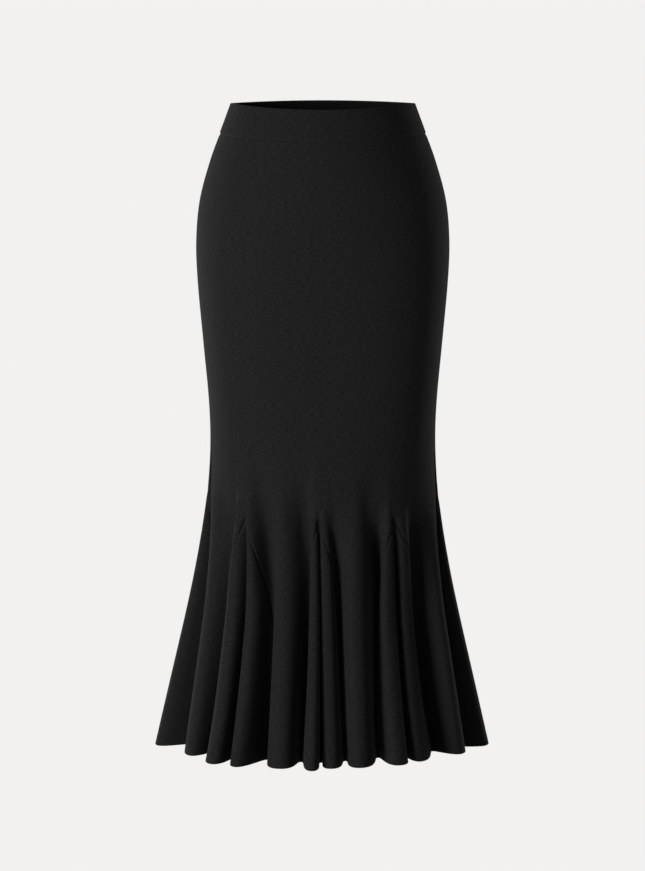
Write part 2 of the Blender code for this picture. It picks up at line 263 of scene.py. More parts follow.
class SmoothColumn:
    """A smooth curve through one column of a table whose first column is the level."""

    def __init__(self, table: Sequence[tuple], column: str) -> None:
        """Reads the column and works out the curve's slope at each level.

        Args:
            table: Rows of one NamedTuple, in rising order of their first column.
            column: The name of the column that the curve passes through.
        """
        self.x = np.array([row[0] for row in table], float)
        self.y = np.array([getattr(row, column) for row in table], float)
        last = len(self.x) - 1
        low = np.maximum(np.arange(last + 1) - 1, 0)
        high = np.minimum(np.arange(last + 1) + 1, last)
        self.slopes = (self.y[high] - self.y[low]) / (self.x[high] - self.x[low])

    def __call__(self, at: Array | float) -> Array:
        """The curve's height, level beyond both ends."""
        at = np.clip(at, self.x[0], self.x[-1])
        i = np.clip(np.searchsorted(self.x, at) - 1, 0, len(self.x) - 2)
        span = self.x[i + 1] - self.x[i]
        t = (at - self.x[i]) / span
        ends = (1 + 2 * t) * (1 - t) ** 2 * self.y[i] + smooth_step(t) * self.y[i + 1]
        return ends + span * t * (1 - t) * ((1 - t) * self.slopes[i] - t * self.slopes[i + 1])


class Half(NamedTuple):
    """Half a period of a section, from a godet's middle to the middle of the strip beside it."""

    points: Array
    lengths: Array
    paces: Array
    valley: float

    @property
    def total(self) -> float:
        """Its length along the cloth."""
        return float(self.lengths[-1])

    def paced(self, start: float, end: float, count: int) -> Array:
        """So many lengths after start, up to end, closer together where the section bends."""
        limits = np.interp([start, end], self.lengths, self.paces)
        return np.interp(np.linspace(*limits, count + 1)[1:], self.paces, self.lengths)


@dataclass
class SkirtForm:
    """The surface that every piece is cut from."""

    cut: Cut = CUT
    curve_steps: int = 24
    bend_pace: float = 22.0
    side_settles: float = 3.2
    front_settles: float = 1.4

    def __post_init__(self) -> None:
        """Prepares the smooth tables and the way of each crest and valley down the cloth."""
        self.waist_dips = self.cut.waist_dip + self.front_settles
        self.side, self.front, self.back, self.full = (
            SmoothColumn(GIRTHS, column) for column in ("side", "front", "back", "full")
        )
        self.growth = {kind: SmoothColumn(GROWTHS, kind.value) for kind in Growing}
        self.recess_growth = SmoothColumn(GROWTHS, "recess")
        self.halves: dict[tuple[int, int, float], Half] = {}
        self.sections: dict[float, tuple[Array, ...]] = {}
        rows = [row for index, fold in enumerate(FOLDS) for row in self.fold_ways(index, fold)]
        *columns, self.kinds = zip(*rows)
        self.tips, self.start_turns, self.hem_turns, self.hem_depths = np.array(columns[:4], float)
        self.recesses, self.rounds, self.bends = np.array(columns[4:], float)
        creases = np.array([kind is Growing.CENTRE_VALLEY for kind in self.kinds])
        self.eases = np.where(creases, self.cut.crease_ease, 1.0)

    def ring_reach(self, drop: Array | float, in_front: Array | bool) -> tuple:
        """How far the body's ring reaches to the side, and to the front or back."""
        return self.side(drop), np.where(in_front, self.front(drop), self.back(drop))

    def axis_turn(self, godet: int) -> float:
        """The turn of a godet's point in radians, which goes on growing past a whole round."""
        rounds, index = divmod(godet, len(GODETS))
        return math.radians(GODETS[index].turn) + math.tau * rounds

    def at_hem(self, across: float, out: float, near: float) -> tuple[float, float]:
        """A point of the hem as a turn, within half a round of near, and a depth behind the ring."""
        side, depth = self.ring_reach(self.cut.length, out >= 0)
        turn = math.atan2(across / side, out / depth)
        turn += math.tau * round((near - turn) / math.tau)
        return turn, 1 - math.hypot(across / side, out / depth)

    def fold_ways(self, index: int, fold: Fold) -> list[tuple]:
        """The crest's and the valley's tip, turns, depth, recess, roundness and kind of growth."""
        before, step = divmod(index, FOLDS_A_GODET)
        after = before + 1
        tips = [place_of(godet).tip for godet in (before, after)]
        way = self.axis_turn(after) - self.axis_turn(before)
        crest_start = self.axis_turn(before) + fold.crest_start * way
        valley_start = self.axis_turn(before) + fold.valley_start * way
        crest_tip = (tips[0], (tips[0] + tips[1]) / 2, tips[1])[step]
        valley_tip = (tips[0], tips[1], tips[1])[step] - fold.valley_lead
        recess = 0.0 if step == 1 or crest_tip == self.cut.side_tip else self.cut.ridge_recess
        bends = math.radians(fold.crest_bend), math.radians(fold.valley_bend)
        crest = self.at_hem(fold.crest_across, fold.crest_out, crest_start)
        valley = self.at_hem(fold.valley_across, fold.valley_out, valley_start)
        kind = Growing.CENTRE_VALLEY if step == FOLDS_A_GODET - 1 else Growing.SEAM_VALLEY
        return [
            (crest_tip, crest_start, *crest, recess, fold.crest_round, bends[0], Growing.SPREAD),
            (valley_tip, valley_start, *valley, 0.0, self.cut.valley_round, bends[1], kind),
        ]

    def section(self, drop: float) -> tuple[Array, ...]:
        """Where all crests and valleys lie at a drop.

        Args:
            drop: The level below the waist.

        Returns:
            Places and ways along the section, two columns each, then spreads and how sharply each bends.
        """
        if drop not in self.sections:
            fall = (drop - self.tips) / (self.cut.length - self.tips)
            spread = self.growth[Growing.SPREAD](fall)
            grown = np.array([self.growth[kind](f) for kind, f in zip(self.kinds, fall)])
            below = np.clip(fall, 0.0, 1.0)
            turn = self.start_turns + (self.hem_turns - self.start_turns) * spread
            turn += self.bends * BEND_SCALE * below * (1 - below) ** 2
            reach = 1 - self.hem_depths * grown - self.recesses * self.recess_growth(fall)
            side, depth = self.ring_reach(drop, np.cos(turn) >= 0)
            full = np.where(np.cos(turn) >= 0, self.full(drop), 0.0)
            fuller = (1 + full * np.sin(2 * turn) ** 2)[:, None]
            ring = np.stack([side * np.sin(turn), -depth * np.cos(turn)], 1)
            place = reach[:, None] * fuller * ring
            way = fuller * np.stack([side * np.cos(turn), depth * np.sin(turn)], 1)
            way += (2 * full * np.sin(4 * turn))[:, None] * ring
            way /= np.linalg.norm(way, axis=1)[:, None]
            eases = 1 + (self.eases - 1) * np.minimum(1.0, self.cut.ease_pace * grown)
            self.sections[drop] = place, way, spread, eases
        return self.sections[drop]

    def half(self, godet: int, side: Side, drop: float) -> Half:
        """The centre valley, the ridge, the seam valley and the strip's crest, joined by curves."""
        godet %= len(GODETS)
        key = godet, side.value, drop
        if key in self.halves:
            return self.halves[key]
        places, ways, spreads, eases = self.section(drop)
        right, left = ((-1, 1), (0, 0), (0, 1), (1, 0)), ((-1, 1), (-1, 0), (-2, 1), (-2, 0))
        steps = right if side is Side.RIGHT else left
        first_fold = FOLDS_A_GODET * godet
        features = [(2 * (first_fold + step) + valley) % (2 * len(FOLDS)) for step, valley in steps]
        t = np.linspace(0, 1, self.curve_steps + 1)[:, None]
        pieces = []
        for first, last in zip(features, features[1:]):
            third = np.linalg.norm(places[last] - places[first]) / 3
            out, back = (
                third * eases[end] * (1 - spreads[end]) + self.rounds[end] * spreads[end]
                for end in (first, last)
            )
            curve = (1 - t) ** 3 * places[first] + t**3 * places[last]
            curve += 3 * (1 - t) ** 2 * t * (places[first] + side.value * out * ways[first])
            curve += 3 * (1 - t) * t * t * (places[last] - side.value * back * ways[last])
            pieces.append(curve if not pieces else curve[1:])
        points = np.concatenate(pieces)
        steps = np.diff(points, axis=0)
        lengths = running(np.linalg.norm(steps, axis=1))
        turns = np.unwrap(np.arctan2(steps[:, 1], steps[:, 0]))
        bends = np.abs(np.gradient(turns)) * self.bend_pace
        paces = lengths + running(bends)
        valley = lengths[2 * self.curve_steps] / lengths[-1]
        self.halves[key] = Half(points, lengths, paces, float(valley))
        return self.halves[key]

    def seam_share(self, godet: int, side: Side, drop: float) -> float:
        """Where the godet's seam lies in its half period: by the cut, then in the valley."""
        below = max(0.0, drop - place_of(godet).tip)
        half_width = self.cut.godet_flare * below
        by_cut = half_width / (half_width + self.cut.strip_half)
        settled = smooth_step(min(below / self.cut.seam_settles, 1.0))
        return by_cut + (self.half(godet, side, drop).valley - by_cut) * settled

    def points(self, godet: int, side: Side, drop: float, shares: Array) -> Array:
        """Points of the surface, with the dip of the waist's edge at the front and the sides.

        Args:
            godet: The godet whose half period is meant.
            side: Which half of its period.
            drop: The level below the waist.
            shares: Shares of the half period's length, from the godet's middle.

        Returns:
            One row of three coordinates for each share, in millimetres.
        """
        half = self.half(godet, side, drop)
        lengths = np.clip(shares, 0, 1) * half.total
        flat = np.stack([np.interp(lengths, half.lengths, half.points[:, n]) for n in (0, 1)], 1)
        dip = np.zeros(len(flat))
        if drop < self.cut.dip_ends:
            band = self.cut.band_height
            past_band = max(0.0, drop - band) / (self.cut.dip_ends - band)
            fade = math.cos(math.pi / 2 * past_band) ** 2
            in_front = flat[:, 1] < 0
            side_reach, front_reach = self.ring_reach(drop, True)
            depth = np.maximum(np.abs(flat[:, 1]), NEAR_ZERO)
            facing = 1 / (1 + (flat[:, 0] * front_reach / (depth * side_reach)) ** 2)
            settled = self.side_settles + (self.waist_dips - self.side_settles) * facing
            dip = np.where(in_front, settled, self.side_settles * (1 - facing)) * fade
            here, lower = (self.ring_reach(level, in_front) for level in (drop, drop + dip))
            flat = flat * np.stack([lower[0] / here[0], lower[1] / here[1]], 1)
        return np.column_stack([flat, -drop - dip])


# ---- Creases and relief on the surface ----


class Crease(NamedTuple):
    """A soft trough, or a ridge where depth is below zero, that runs down the cloth."""

    turn: float
    drop: float
    lean: float
    half_width: float
    half_length: float
    depth: float


# In front, at the sides, at the back, and under the seat.
CREASES = (
    Crease(30.0, 512.0, 0.0, 4.6, 60.0, 2.6),
    Crease(-66.0, 532.0, -1.0, 4.6, 52.0, 2.4),
    Crease(-14.6, 548.0, 0.0, 2.6, 42.0, 1.5),
    Crease(-9.4, 480.0, 0.0, 2.4, 58.0, 0.6),
    Crease(-54.0, 470.0, 0.0, 3.0, 50.0, 0.7),
    Crease(-38.5, 585.0, 2.0, 4.0, 60.0, 4.2),
    Crease(104.0, 470.0, -1.5, 5.0, 60.0, 1.5),
    Crease(-105.0, 462.0, 1.5, 5.0, 55.0, 1.3),
    Crease(122.0, 500.0, 2.0, 4.0, 55.0, 2.0),
    Crease(160.5, 512.0, 0.5, 3.2, 52.0, 2.2),
    Crease(-159.0, 505.0, -0.5, 3.4, 55.0, 1.9),
    Crease(-123.0, 515.0, -2.0, 4.2, 50.0, 2.1),
    Crease(166.0, 345.0, 5.0, 9.0, 75.0, 1.3),
    Crease(-167.0, 352.0, -5.0, 9.0, 70.0, 1.4),
)


@dataclass(frozen=True)
class SeamFinish:
    """How the cloth rolls in along a seam, in millimetres."""

    roll_depth: float = 1.15
    roll_reach: float = 1.7
    gap: float = 0.06


@dataclass(frozen=True)
class Allowance:
    """The plies that a seam leaves inside, pressed to one side, in millimetres.

    across are the places of its columns from the seam, one of which carries the overlock thread.
    under is how far behind the surface its middle lies.
    """

    across: tuple[float, ...] = (-0.8, 0.3, 1.2, 2.4, 3.8, 5.1, 6.4, 7.0)
    overlock_column: int = 5
    thick: float = 1.5
    under: float = 1.12
    tail: float = 7.0


SEAM = SeamFinish()
ALLOWANCE = Allowance()
WAIST_ALLOWANCE = Allowance((38.5, 39.4, 40.6, 42.2, 43.6, 44.9, 45.5), 4, 2.0, 1.4)


def creased(turns: Array, drop: float) -> Array:
    """How far the creases press the cloth in at points of one level.

    Args:
        turns: The points' turns in degrees.
        drop: Their level below the waist.

    Returns:
        The depth at each point, in millimetres.
    """
    depth = np.zeros_like(turns)
    for crease in CREASES:
        along = (drop - crease.drop) / crease.half_length
        if abs(along) < 1:
            centre = crease.turn + crease.lean * along
            across = (turns - centre + 180.0) % 360.0 - 180.0
            fade = math.cos(math.pi / 2 * along) ** 2
            depth += crease.depth * fade * np.exp(-((across / crease.half_width) ** 2))
    return depth


# ---- Sheets of cloth ----


class RowSpan(NamedTuple):
    """Levels from one drop to another, about one step apart."""

    start: float
    end: float
    step: float


# Heights above the hem of its two rows of stitches and of the turn-up's upper edge.
HEM_STITCHES = (15.0, 19.0)
HEM_TURN_UP = 22.0
# How far the band's last row and the panels' first one lie from the waist seam.
WAIST_SEAM_GAP = 0.1
BAND_SPANS = (
    RowSpan(0.0, 3.0, 1.0),
    RowSpan(3.0, 33.0, 5.0),
    RowSpan(33.0, CUT.band_height - WAIST_SEAM_GAP, 0.8),
)
PANEL_SPANS = (
    RowSpan(CUT.band_height + WAIST_SEAM_GAP, 44.0, 0.8),
    RowSpan(44.0, 120.0, 6.0),
    RowSpan(120.0, 440.0, 8.0),
    RowSpan(440.0, 468.0, 4.5),
    RowSpan(468.0, CUT.side_tip, 1.4),
    RowSpan(CUT.side_tip, 490.0, 1.4),
    RowSpan(490.0, 522.0, 3.0),
    RowSpan(522.0, CUT.front_tip, 1.3),
    RowSpan(CUT.front_tip, 548.0, 1.3),
    RowSpan(548.0, 816.0, 4.2),
    RowSpan(816.0, 830.0, 0.8),
    RowSpan(830.0, CUT.length, 1.6),
)
# The columns next to a seam, by their distance from it. The others are spread out partly closer
# together at both ends and partly evenly, in these two shares.
SEAM_COLUMNS = (0.0, 0.45, 0.95, 1.5, 2.2, 3.2, 4.8)
CLOSE_SHARE, EVEN_SHARE = 0.55, 0.45
# The rows round a folded edge, in degrees.
FOLD_TURNS = (30.0, 60.0, 90.0, 120.0, 150.0)


def levels_of(spans: Iterable[RowSpan]) -> list[float]:
    """The levels of a list of spans, each once, in falling order of height."""
    levels: list[float] = []
    for span in spans:
        count = max(1, round((span.end - span.start) / span.step))
        levels += [round(float(level), 4) for level in np.linspace(span.start, span.end, count + 1)]
    return sorted(set(levels))


def eased(count: int, start: float) -> Array:
    """Shares from start to 1, closer together at both ends."""
    t = np.linspace(0, 1, count + 1)[1:]
    close = (1 - np.cos(np.pi * t)) / 2
    return start + (1 - start) * (CLOSE_SHARE * close + EVEN_SHARE * t)


@dataclass
class Patch:
    """A grid of surface points, with all that a sheet of cloth needs to know at each."""

    points: Array
    outward: Array
    cloth: Array
    from_seam: Array

    @property
    def grids(self) -> tuple[Array, Array, Array, Array]:
        """Its grids in the order of its fields."""
        return self.points, self.outward, self.cloth, self.from_seam

    def moved(self, out: float) -> Patch:
        """The patch moved so far out of the skirt."""
        return replace(self, points=self.points + out * self.outward)

    def levels_at(self, levels: Sequence[float], drops: Sequence[float]) -> Patch:
        """The patch with rows at other drops, between its own.

        Args:
            levels: The drops of its rows.
            drops: The drops of the new rows.

        Returns:
            A patch with one row for each of the new drops.
        """
        rows = np.interp(drops, levels, np.arange(len(levels)))
        above = np.minimum(rows.astype(int), len(levels) - 2)
        grids = []
        for grid in self.grids:
            share = (rows - above).reshape((-1,) + (1,) * (grid.ndim - 1))
            grids.append((1 - share) * grid[above] + share * grid[above + 1])
        return Patch(*grids)

    def pressed(self, roll: SeamFinish) -> Patch:
        """The patch with its creases and with its sewn edges rolled in."""
        turns = np.degrees(np.arctan2(self.points[..., 0], -self.points[..., 1]))
        depth = roll.roll_depth * np.exp(-((self.from_seam / roll.roll_reach) ** 2))
        for row in range(len(depth)):
            depth[row] += creased(turns[row], -float(self.points[row, :, 2].mean()))
        return replace(self, points=self.points - depth[..., None] * self.outward)


def normals_of(points: Array) -> Array:
    """The way out of the skirt at each point of a grid with rows top to bottom, columns by turn."""
    down = np.gradient(points, axis=0)
    along = np.gradient(points, axis=1)
    outward = np.cross(down, along)
    return outward / np.maximum(np.linalg.norm(outward, axis=2), NEAR_ZERO**2)[..., None]


def placed(name: str, data: bpy.types.ID) -> Piece:
    """Puts a mesh, a lamp or a camera into the scene as an object."""
    piece = bpy.data.objects.new(name, data)
    bpy.context.scene.collection.objects.link(piece)
    return piece


def drawn(name: str, points: list[Array], outward: list[Array], edges: Sequence, faces: Sequence) -> Piece:
    """Makes an object in metres from points in millimetres, with their outward ways as an attribute."""
    mesh = bpy.data.meshes.new(name)
    mesh.from_pydata((np.array(points) * MM).tolist(), edges, faces)
    ways = mesh.attributes.new("outward", "FLOAT_VECTOR", "POINT")
    ways.data.foreach_set("vector", np.array(outward, np.float32).ravel())
    return placed(name, mesh)


@dataclass
class SheetMesh:
    """The middle layer of a sheet of cloth, as vertices with their outward ways and faces."""

    name: str
    points: list[Array] = field(default_factory=list)
    outward: list[Array] = field(default_factory=list)
    cloth: list[Array] = field(default_factory=list)
    faces: list[list[int]] = field(default_factory=list)

    def add(self, patch: Patch, before: Array | None = None, joined: int = 0) -> Array:
        """Adds a patch.

        Args:
            patch: The grid to add.
            before: The numbers of the patch to its left, whose last column is its first.
            joined: How many rows, from the first, are one cloth with that patch.

        Returns:
            The number of each vertex, as a grid.
        """
        numbers = np.full(patch.points.shape[:2], -1, int)
        if before is not None:
            numbers[:joined, 0] = before[:joined, -1]
        new = numbers < 0
        numbers[new] = len(self.points) + np.arange(np.count_nonzero(new))
        self.points.extend(patch.points[new])
        self.outward.extend(patch.outward[new])
        self.cloth.extend(patch.cloth[new])
        corners = (numbers[:-1, :-1], numbers[1:, :-1], numbers[1:, 1:], numbers[:-1, 1:])
        self.faces.extend(np.stack(corners, 2).reshape(-1, 4).tolist())
        return numbers

    def cut_area(self) -> float:
        """The flat area of the cut in square metres, from the cloth's own coordinates."""
        at = np.array(self.cloth)[np.array(self.faces)]
        ahead = np.roll(at, -1, axis=1)
        return float(np.abs((at[..., 0] * ahead[..., 1] - ahead[..., 0] * at[..., 1]).sum(1)).sum() / 2)

    def cut_box(self) -> tuple[float, float]:
        """Width and length of the rectangle round the cut, in metres."""
        span = np.ptp(np.array(self.cloth), axis=0)
        return float(span[0]), float(span[1])

    def build(self) -> Piece:
        """Makes the mesh, with the cloth's own coordinates as its UV map."""
        piece = drawn(self.name, self.points, self.outward, [], self.faces)
        corners = np.zeros(len(piece.data.loops), int)
        piece.data.loops.foreach_get("vertex_index", corners)
        layer = piece.data.uv_layers.new(name="cloth")
        layer.data.foreach_set("uv", np.array(self.cloth, np.float32)[corners].ravel())
        return piece


@dataclass
class ThreadPath:
    """Lines that a thread follows, with the way out of the skirt at each of their points."""

    name: str
    points: list[Array] = field(default_factory=list)
    outward: list[Array] = field(default_factory=list)
    edges: list[tuple[int, int]] = field(default_factory=list)

    def add(self, points: Array, outward: Array, out: float) -> None:
        """Adds a line along points of the cloth, moved so far out of the skirt."""
        start = len(self.points)
        self.points.extend(points + out * outward)
        self.outward.extend(outward)
        self.edges.extend((number, number + 1) for number in range(start, len(self.points) - 1))

    def build(self) -> Piece:
        """Makes the lines a mesh of edges."""
        return drawn(self.name, self.points, self.outward, self.edges, [])


def turned_edge(patch: Patch, gap: float, centre: float, levels: int, at_hem: bool) -> Patch:
    """Folds a sheet over its last row and back up inside, or over its first row and down inside.

    Args:
        patch: The sheet's outer layer.
        gap: The distance between the middle of the outer layer and that of the inner one.
        centre: How far outside the surface the outer layer's middle lies.
        levels: How many of the outer layer's rows, next to the edge, the inner layer repeats.
        at_hem: True to fold the last row, False to fold the first.

    Returns:
        The outer layer moved out to its place, the fold and the inner layer, as one patch.
    """
    order = slice(None) if at_hem else slice(None, None, -1)
    points, outward, cloth, from_seam = (grid[order] for grid in patch.grids)
    radius = gap / 2
    ahead = -1.0 if at_hem else 1.0
    beyond = np.array([0.0, 0.0, ahead])
    middle = points[-1] + (centre - radius) * outward[-1]
    parts = [(points + centre * outward, outward, cloth, from_seam)]
    for turn in np.radians(FOLD_TURNS):
        normal = math.cos(turn) * outward[-1] + math.sin(turn) * beyond
        round_edge = cloth[-1] + np.array([0.0, radius * float(turn) * MM * ahead])
        parts.append(((middle + radius * normal)[None], normal[None], round_edge[None], from_seam[-1:]))
    back = slice(-1, -levels - 1, -1)
    mirrored = 2 * cloth[-1] - cloth[back]
    mirrored[..., 1] += radius * math.pi * MM * ahead
    inner = points[back] + (centre - gap) * outward[back]
    parts.append((inner, -outward[back], mirrored, from_seam[back]))
    return Patch(*(np.concatenate(grid)[order] for grid in zip(*parts)))


@dataclass
class Pattern:
    """Lays out the pieces of the cut on the skirt's surface."""

    form: SkirtForm
    strip_columns: int = 20
    godet_columns: int = 25
    stitch_pull: float = 0.28
    stitch_pull_reach: float = 0.7
    waist_pull: float = 0.65
    band_pull: float = 1.3
    seam_tread: float = 1.0
    steer_reach: float = 3.0
    close_room: float = 2.5

    def seam_outward(self, godet: int, side: Side, levels: Sequence[float]) -> Array:
        """The way out of the skirt along a seam, which the cloth on both sides of it shares."""
        rows = []
        for drop in levels:
            seam = self.form.seam_share(godet, side, drop)
            tread = self.seam_tread / self.form.half(godet, side, drop).total
            inner_side = side if seam > tread else Side(-side.value)
            inner = self.form.points(godet, inner_side, drop, np.array([abs(seam - tread)]))
            outer = self.form.points(godet, side, drop, np.array([seam, seam + tread]))
            rows.append(np.concatenate([inner, outer])[:: side.value])
        return normals_of(np.stack(rows))[:, 1]

    def steered(self, own: Array, edges: Sequence[tuple], reach: Array | float) -> Array:
        """Turns the outward ways near a sheet's edges to the seams' own.

        Args:
            own: The outward way at each point of the sheet's grid.
            edges: For each edge, the seam's outward ways and how far each point lies from it.
            reach: How far the seam's way is felt.

        Returns:
            The outward ways, as a grid.
        """
        for outward, distance in edges:
            share = np.exp(-((distance / reach) ** 2))[..., None]
            own = (1 - share) * own + share * outward[:, None]
        return own / np.linalg.norm(own, axis=2)[..., None]

    def edge(self, godet: int, side: Side, drop: float) -> float:
        """How far from the godet's middle the strip's edge lies, in millimetres of cloth."""
        place = place_of(godet)
        seam = self.form.seam_share(godet, side, drop) * self.form.half(godet, side, drop).total
        return seam + (SEAM.gap if drop > place.tip or place.tip == CUT.side_tip else 0.0)

    def seam_distance(self, godet: int, drop: float, along: Array) -> Array:
        """The distance of points of one level from the seam beside them, or from its upper end."""
        place = place_of(godet)
        above = 0.0 if place.tip == CUT.side_tip else max(0.0, place.tip - drop)
        return np.hypot(along, above)

    def strip_row(self, first: int, drop: float) -> tuple[Array, Array, Array]:
        """One level of the strip of cloth between two godets.

        Args:
            first: The godet to its left.
            drop: The level below the waist.

        Returns:
            The points, how far each lies along the cloth from the left edge, and from a seam.
        """
        rows = []
        for godet, side in ((first, Side.RIGHT), (first + 1, Side.LEFT)):
            total = self.form.half(godet, side, drop).total
            edge = self.edge(godet, side, drop)
            width = total - edge
            wide = eased(self.strip_columns, SEAM_COLUMNS[-1] / width) * width
            along = np.concatenate([SEAM_COLUMNS, wide])
            points = self.form.points(godet, side, drop, (edge + along) / total)
            rows.append((points, along, self.seam_distance(godet, drop, along)))
        left_half, (points, along, near) = rows
        right_half = points, left_half[1][-1] + along[-1] - along, near
        return tuple(meeting(left, right) for left, right in zip(left_half, right_half))

    def cloth_at(self, across: Array, down: Array) -> Array:
        """The cloth's own coordinates in metres, of a grid whose rows lie so far down."""
        return np.stack([across, np.broadcast_to(-down[:, None], across.shape)], 2) * MM

    def run_down(self, points: Array) -> Array:
        """How far down the cloth each row of a grid lies, in millimetres."""
        return running(np.linalg.norm(np.diff(points, axis=0), axis=2).mean(1))

    def tube_half(self, first: int, levels: list[float]) -> list[Patch]:
        """The four strips of the front or the back, one cloth down to the godets' points.

        Args:
            first: The godet at the left edge of the first strip.
            levels: The drops of the rows.

        Returns:
            One patch for each strip, alike along the columns that two of them share.
        """
        strips = len(GODETS) // 2
        rows = [[self.strip_row(first + strip, drop) for drop in levels] for strip in range(strips)]
        points, along, near = ([np.stack([row[n] for row in strip]) for strip in rows] for n in range(3))
        steered = []
        for strip, place in enumerate(along):
            left = self.seam_outward(first + strip, Side.RIGHT, levels), place
            right = self.seam_outward(first + strip + 1, Side.LEFT, levels), place[:, -1:] - place
            steered.append(self.steered(normals_of(points[strip]), (left, right), self.steer_reach))
        last_whole = max(row for row, drop in enumerate(levels) if drop <= CUT.front_tip)
        for place in along:
            widths = place[:, -1:].copy()
            place *= widths[np.minimum(np.arange(len(levels)), last_whole)] / widths
        starts = np.cumsum([np.zeros(len(levels))] + [place[:, -1] for place in along], axis=0)
        down = self.run_down(np.concatenate(points, axis=1))
        patches = []
        for strip in range(strips):
            across = along[strip] + (starts[strip] - starts[strips // 2])[:, None]
            patch = Patch(points[strip], steered[strip], self.cloth_at(across, down), near[strip])
            patches.append(self.finish(patch, levels))
        return patches

    def allowance(self, godet: int, side: Side, levels: Sequence[float]) -> Patch:
        """The surface beside a seam, on the panel's side, under which its allowance lies."""
        rows, near = [], []
        for drop in levels:
            total = self.form.half(godet, side, drop).total
            seam = self.form.seam_share(godet, side, drop) * total
            across = np.array(ALLOWANCE.across)
            across[0] = max(across[0], -seam / 2)
            rows.append(self.form.points(godet, side, drop, (seam + across) / total)[:: side.value])
            near.append(self.seam_distance(godet, drop, np.abs(across))[:: side.value])
        points = np.stack(rows)
        cloth = self.cloth_at(np.broadcast_to(ALLOWANCE.across, points.shape[:2]), self.run_down(points))
        return Patch(points, normals_of(points), cloth, np.stack(near)).pressed(SEAM)

    def godet(self, index: int, levels: list[float]) -> Patch:
        """A godet from seam to seam, at the given levels below its point."""
        tip = GODETS[index].tip
        rows, widths = [], []
        for drop in levels:
            sides = []
            for side in (Side.LEFT, Side.RIGHT):
                half = self.form.half(index, side, drop)
                width = self.form.seam_share(index, side, drop) * half.total - SEAM.gap
                close = np.array(SEAM_COLUMNS) * min(1.0, width / (self.close_room * SEAM_COLUMNS[-1]))
                inner = half.paced(width - close[-1], 0.0, self.godet_columns)
                from_edge = np.concatenate([close, width - inner])
                points = self.form.points(index, side, drop, (width - from_edge) / half.total)
                flat = (width - from_edge) / width * CUT.godet_flare * (drop - tip)
                sides.append((points, from_edge, side.value * flat))
            rows.append([meeting(left, right) for left, right in zip(*sides)])
            widths.append(min(from_edge[-1] for _, from_edge, _ in sides))
        points, from_seam, across = (np.stack(grid) for grid in zip(*rows))
        from_middle = np.arange(points.shape[1]) - (points.shape[1] - 1) / 2
        edges = []
        for side in Side:
            distance = np.where(from_middle * side.value >= 0, from_seam, np.inf)
            edges.append((self.seam_outward(index, side, levels), distance))
        reach = np.minimum(self.steer_reach, np.array(widths) / 2)[:, None]
        outward = self.steered(normals_of(points), edges, reach)
        cloth = self.cloth_at(across, self.run_down(points) + levels[0])
        return self.finish(Patch(points, outward, cloth, from_seam), levels)

    def finish(self, patch: Patch, levels: Sequence[float]) -> Patch:
        """Rolls in the sewn edges, presses the creases and pulls the cloth in along the hem's rows."""
        pressed = patch.pressed(SEAM)
        drops = np.array(levels)
        pull = sum(
            self.stitch_pull * np.exp(-(((CUT.length - drops - row) / self.stitch_pull_reach) ** 2))
            for row in HEM_STITCHES
        )
        waist_pull = np.where(drops < CUT.band_height, self.band_pull, self.waist_pull)
        pull += waist_pull * np.exp(-(((drops - CUT.band_height) / SEAM.roll_reach) ** 2))
        return replace(pressed, points=pressed.points - pull[:, None, None] * pressed.outward)


# ---- Node trees ----


def fill(tree: Tree, node: bpy.types.Node, inputs: dict) -> None:
    """Gives a node's inputs their values or the sockets that feed them, by name or number."""
    for name, value in inputs.items():
        if isinstance(value, Socket):
            tree.links.new(value, node.inputs[name])
        else:
            node.inputs[name].default_value = value


def place_node(
    tree: Tree, kind: str, inputs: dict | None = None, settings: dict | None = None
) -> bpy.types.Node:
    """Adds a node to a tree.

    Args:
        tree: The tree.
        kind: The node's type.
        inputs: Values or sockets for its inputs, by name or number.
        settings: Values for its properties.

    Returns:
        The node.
    """
    node = tree.nodes.new(kind)
    for name, value in (settings or {}).items():
        setattr(node, name, value)
    fill(tree, node, inputs or {})
    return node


def maths(tree: Tree, operation: str, *values: object) -> Socket:
    """The result of a Math node on values or sockets."""
    inputs = dict(enumerate(values))
    return place_node(tree, "ShaderNodeMath", inputs, {"operation": operation}).outputs[0]


def vector_maths(tree: Tree, operation: str, inputs: dict) -> Socket:
    """The result of a Vector Math node."""
    return place_node(tree, "ShaderNodeVectorMath", inputs, {"operation": operation}).outputs[0]


class SocketKind(Enum):
    """The kinds of socket that the trees of this file have."""

    GEOMETRY = "NodeSocketGeometry"
    MATERIAL = "NodeSocketMaterial"
    NUMBER = "NodeSocketFloat"
    VECTOR = "NodeSocketVector"


# A thread's sides, the steps of a stitch's arch and of one zigzag, and how far a stitch's ends dip
# and its middle rises, in radii.
THREAD_SIDES, STITCH_STEPS, ZIGZAG_STEPS = 4, 4, 6
STITCH_DIP, STITCH_RISE = -1.2, 2.2


